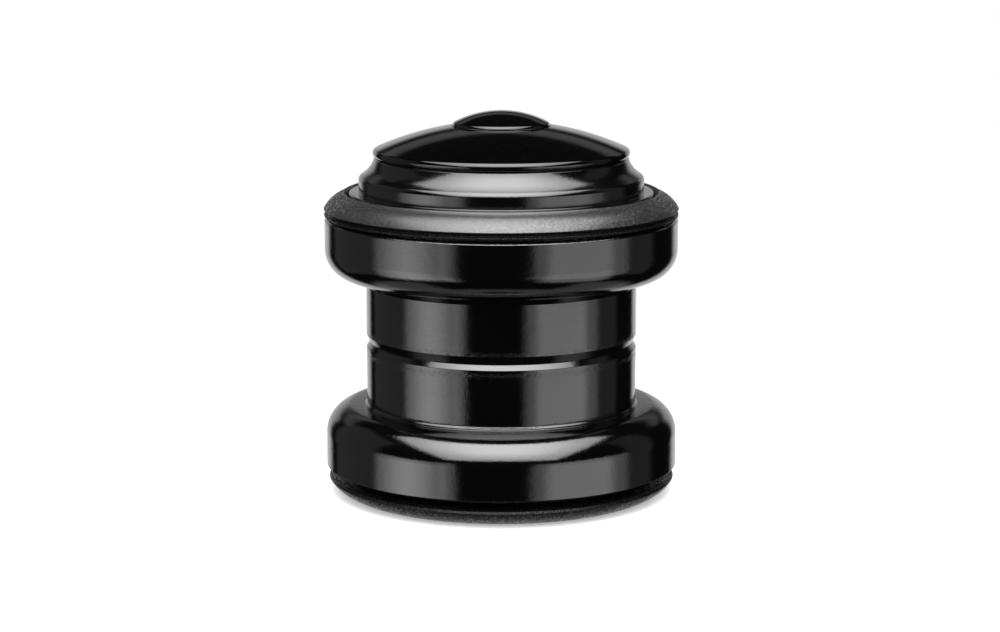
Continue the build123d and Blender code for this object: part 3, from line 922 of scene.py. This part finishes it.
class HEADSET_OT_star_nut(Operator):
    """Turn the star nut's barrel and finish its two spring stars"""

    bl_idname = "headset.star_nut"
    bl_label = "Star nut"

    def execute(self, context):
        sizes = context.scene.headset_sizes
        zinc = ground_metal("zinc_plated_steel", (0.62, 0.62, 0.60), 0.3, 0.00015, 0.000004)
        spring = sheet_metal("spring_steel", (0.34, 0.34, 0.36), 0.3)
        turned_piece("star_nut_core_turned", "star_nut_core", zinc, sizes.edge_round, sizes.around_inside)
        for star in ("star_nut_lower_star", "star_nut_upper_star"):
            dressed(star, spring)
        return {"FINISHED"}


class HEADSET_OT_cap_bolt(Operator):
    """Cut the cap bolt with its thread and hexagon socket"""

    bl_idname = "headset.cap_bolt"
    bl_label = "Cap bolt"

    def execute(self, context):
        sizes = context.scene.headset_sizes
        points, closed = section("cap_bolt")
        spots = [spot for spot, _ in turned_line(points, closed, sizes.edge_round)]
        steel = sheet_metal("black_oxide_steel", (0.08, 0.08, 0.082), 0.3)
        placed(threaded_bolt("cap_bolt_threaded", spots, sizes), "cap_bolt", steel)
        return {"FINISHED"}


def clamp(share):
    """A share kept between none and all."""
    return min(1.0, max(0.0, share))


def hexagon(angle):
    """Radius of a hexagon at an angle, as a share of the radius of its corners."""
    return math.cos(math.pi / 6) / math.cos(angle % (math.pi / 3) - math.pi / 6)


def groove(height, angle, sizes, foot, head):
    """Depth of the thread at a height and angle on a shank, fading at its foot and under its head."""
    off_middle = abs((height / sizes.thread_pitch - angle / (2 * math.pi)) % 1.0 * 2 - 1)
    fade = min(clamp((height - foot) / THREAD_LEAD), clamp((head - height) / THREAD_RUN_OUT))
    return sizes.thread_depth * fade * clamp(GROOVE_CUT - GROOVE_FLANK * off_middle)


def threaded_bolt(name, spots, sizes):
    """Mesh of the bolt: its outline turned, its longest straight run threaded and its socket six-sided."""
    run = max(range(len(spots) - 1), key=lambda i: abs(spots[i + 1].y - spots[i].y))
    start, end = spots[run], spots[run + 1]
    foot, shank = min(start.y, end.y), start.x
    head = max(spot.y for spot in spots if abs(spot.x - shank) < SAME_SIZE)
    top = max(spot.y for spot in spots)
    rim = next(i for i, spot in enumerate(spots) if spot.y > top - AT_TOP)
    socket = max(spot.x for spot in spots[rim:] if spot.y < top - SAME_SIZE) + SOCKET_MOUTH
    steps = math.ceil(abs(end.y - start.y) / (sizes.thread_pitch / THREAD_ROWS))
    thread = [start.lerp(end, k / steps) for k in range(1, steps)]
    outside = spots[:run + 1] + thread + spots[run + 1:rim]
    verts, rings = [], []
    for i, spot in enumerate(outside + spots[rim:]):
        radii = [spot.x] * BOLT_AROUND
        if i >= len(outside) and spot.x <= socket:
            radii = [spot.x * hexagon(angle) for angle in circle(BOLT_AROUND)]
        elif abs(spot.x - shank) < SAME_SIZE:
            radii = [spot.x - groove(spot.y, angle, sizes, foot, head) for angle in circle(BOLT_AROUND)]
        rings.append(add_ring(verts, spot.y, radii))
    mesh = ring_mesh(name, verts, rings)
    mesh.set_sharp_from_angle(angle=BOLT_EDGE)
    return mesh


class HEADSET_OT_stage(Operator):
    """Set the camera, the pale floor, the soft boxes and the white surround"""

    bl_idname = "headset.stage"
    bl_label = "Studio"

    def execute(self, context):
        stage = context.scene.headset_stage
        context.scene.view_settings.view_transform = "Standard"
        set_camera(context.scene, stage)
        set_floor(context.scene, stage)
        for order, (name, azimuth, elevation, width, height, lamp, share) in enumerate(SOFT_BOXES):
            away = FARTHEST_BOX - BOX_STEP * order
            box = soft_box(name, away, width, height, share * getattr(stage, lamp))
            aim = direction(math.radians(azimuth), math.radians(elevation))
            look_back(context.scene, box, Vector(stage.target), away, aim)
        for name, edge, across, upward, low in FADED_BOXES:
            fall_off(bpy.data.lights[name], edge, across, upward, low)
        set_surround(context.scene, stage)
        return {"FINISHED"}


def direction(azimuth, elevation):
    """Unit vector towards an azimuth from the camera's side and an elevation, in radians."""
    return Vector((
        math.sin(azimuth) * math.cos(elevation),
        -math.cos(azimuth) * math.cos(elevation),
        math.sin(elevation)))


def look_back(scene, item, target, away, aim):
    """Places a camera or lamp at a distance from a target, in the direction of aim, facing the target."""
    item.location = target + away * aim
    item.rotation_euler = aim.to_track_quat("Z", "Y").to_euler()
    scene.collection.objects.link(item)


def set_camera(scene, stage):
    """Camera at the photograph's height, distance and framing."""
    data = bpy.data.cameras.new("camera")
    data.lens = stage.lens
    data.sensor_width = 36
    data.shift_x = -0.0013
    data.shift_y = 0.0005
    data.clip_start = 0.01
    camera = bpy.data.objects.new("camera", data)
    look_back(scene, camera, Vector(stage.target), stage.distance, direction(0, stage.elevation))
    scene.camera = camera


def set_floor(scene, stage):
    """Pale floor that the camera sees from above, and that lamps and reflections pass through."""
    level = CAD_BOX[0][2]
    corners = [(x * FLOOR_REACH, y * FLOOR_REACH, level) for x, y in ((-1, -1), (1, -1), (1, 1), (-1, 1))]
    mesh = bpy.data.meshes.new("floor")
    mesh.from_pydata(corners, [], [(0, 1, 2, 3)])
    floor = bpy.data.objects.new("floor", mesh)
    scene.collection.objects.link(floor)
    material = bpy.data.materials.new("pale_floor")
    material.use_nodes = True
    tree = material.node_tree
    tree.nodes.clear()
    matt = put(tree, "ShaderNodeBsdfDiffuse", None, {"Color": (*stage.floor, 1)})
    glow = put(tree, "ShaderNodeEmission", None, {"Color": (*grey(1), 1), "Strength": FLOOR_GLOW})
    near = put(tree, "ShaderNodeAddShader", None, {0: matt.outputs[0], 1: glow.outputs[0]})
    white = put(tree, "ShaderNodeEmission", None, {"Color": (*grey(1), 1), "Strength": 1.0})
    away = vector_node(tree, "LENGTH", object_place(tree))["Value"]
    fade = ramp(tree, away, *FLOOR_FADES)
    shown = put(tree, "ShaderNodeMixShader", None, {0: fade, 1: near.outputs[0], 2: white.outputs[0]})
    under = put(tree, "ShaderNodeNewGeometry").outputs["Backfacing"]
    camera = put(tree, "ShaderNodeLightPath").outputs["Is Camera Ray"]
    seen = times(tree, camera, minus(tree, 1.0, under))
    clear = put(tree, "ShaderNodeBsdfTransparent")
    mix = put(tree, "ShaderNodeMixShader", None, {0: seen, 1: clear.outputs[0], 2: shown.outputs[0]})
    put(tree, "ShaderNodeOutputMaterial", None, {"Surface": mix.outputs[0]})
    mesh.materials.append(material)


def soft_box(name, away, width, height, level):
    """Soft box of a radiance that fills a width and height of view, in degrees, from a distance."""
    data = bpy.data.lights.new(name, "AREA")
    data.shape = "RECTANGLE"
    data.size = 2 * away * math.tan(math.radians(width / 2))
    data.size_y = 2 * away * math.tan(math.radians(height / 2))
    data.energy = level * math.pi * data.size * data.size_y
    lamp = bpy.data.objects.new(name, data)
    lamp.visible_camera = False
    return lamp


def fall_off(lamp, edge, across, upward, low):
    """Makes a soft box fade at its edges, and grow from a low level to its full one across and up it."""
    lamp.use_nodes = True
    tree = lamp.node_tree
    spot = parts_of(tree, put(tree, "ShaderNodeNewGeometry").outputs["Parametric"])
    rim = heart = 1.0
    for axis, reach in (("X", across), ("Y", upward)):
        off_centre = math_node(tree, "ABSOLUTE", minus(tree, spot[axis], 0.5))
        inward = minus(tree, 0.5, off_centre)
        rim = times(tree, ramp(tree, inward, 0.0, edge), rim)
        heart = times(tree, ramp(tree, inward, 0.0, reach), heart)
    level = times(tree, rim, math_node(tree, "MULTIPLY_ADD", heart, 1 - low, low))
    wire(tree, tree.nodes["Emission"], {"Strength": level})


def set_surround(scene, stage):
    """White to the camera, white behind and below in reflections, and an even low fill elsewhere."""
    world = bpy.data.worlds.new("surround")
    scene.world = world
    world.use_nodes = True
    tree = world.node_tree
    tree.nodes.clear()
    toward = parts_of(tree, put(tree, "ShaderNodeTexCoord").outputs["Generated"])
    behind = math_node(tree, "ABSOLUTE", math_node(tree, "ARCTAN2", toward["X"], toward["Y"]))
    rise = math_node(tree, "ARCSINE", toward["Z"])
    low = times(tree, angle_ramp(tree, rise, -12, 8, 0.85, 0.62), angle_ramp(tree, rise, 9, 16, 1.0, 0.0))
    table = times(tree, angle_ramp(tree, behind, 26, 34, 1.0, 0.0), low)
    band = times(tree, angle_ramp(tree, rise, 17, 21), angle_ramp(tree, rise, 25, 30, 0.17, 0.0))
    wall = times(tree, angle_ramp(tree, behind, 36, 44, 1.0, 0.0), band)
    nadir = times(tree, angle_ramp(tree, rise, -84, -78), angle_ramp(tree, rise, -72, -64, 0.2, 0.0))
    below = angle_ramp(tree, rise, -46, -40, 1.0, 0.0)
    aside = times(tree, below, angle_ramp(tree, behind, 108, 122, 1.0, 0.0))
    ground = times(tree, angle_ramp(tree, behind, 30, 66, 0.5, 0.2), aside)
    path = put(tree, "ShaderNodeLightPath").outputs
    mirrored = largest(tree, path["Is Glossy Ray"], path["Is Transmission Ray"])
    shown = times(tree, mirrored, largest(tree, table, wall, nadir, ground))
    even = times(tree, path["Is Diffuse Ray"], stage.fill)
    dim = times(tree, mirrored, 0.008)
    strength = largest(tree, path["Is Camera Ray"], shown, even, dim)
    glow = put(tree, "ShaderNodeBackground", None, {"Color": (*grey(1), 1), "Strength": strength})
    put(tree, "ShaderNodeOutputWorld", None, {"Surface": glow.outputs[0]})


class HEADSET_PT_build(Panel):
    """Lists the headset's pieces in the order that they are made"""

    bl_idname = "HEADSET_PT_build"
    bl_label = "Headset"
    bl_space_type = "VIEW_3D"
    bl_region_type = "UI"
    bl_category = "Headset"

    def draw(self, context):
        for group in (context.scene.headset_sizes, context.scene.headset_finish, context.scene.headset_stage):
            column = self.layout.column(align=True)
            for name in group.bl_rna.properties.keys():
                if name not in ("rna_type", "name"):
                    column.prop(group, name)
        for operator in PIECES:
            self.layout.operator(operator.bl_idname)


PIECES = (
    HEADSET_OT_cups, HEADSET_OT_cover, HEADSET_OT_cap, HEADSET_OT_seals, HEADSET_OT_crown_race,
    HEADSET_OT_bearings, HEADSET_OT_star_nut, HEADSET_OT_cap_bolt, HEADSET_OT_stage,
)
CLASSES = (HeadsetSizes, HeadsetFinish, HeadsetStage) + PIECES + (HEADSET_PT_build,)


def register():
    """Adds the classes and the scene's settings."""
    for item in CLASSES:
        bpy.utils.register_class(item)
    bpy.types.Scene.headset_sizes = PointerProperty(type=HeadsetSizes)
    bpy.types.Scene.headset_finish = PointerProperty(type=HeadsetFinish)
    bpy.types.Scene.headset_stage = PointerProperty(type=HeadsetStage)


def unregister():
    """Takes the classes and the scene's settings away."""
    del bpy.types.Scene.headset_sizes, bpy.types.Scene.headset_finish, bpy.types.Scene.headset_stage
    for item in reversed(CLASSES):
        bpy.utils.unregister_class(item)


def main():
    """Makes every piece in order."""
    register()
    bpy.ops.headset.cups()
    bpy.ops.headset.cover()
    bpy.ops.headset.cap()
    bpy.ops.headset.seals()
    bpy.ops.headset.crown_race()
    bpy.ops.headset.bearings()
    bpy.ops.headset.star_nut()
    bpy.ops.headset.cap_bolt()
    bpy.ops.headset.stage()


if __name__ == "__main__":
    main()
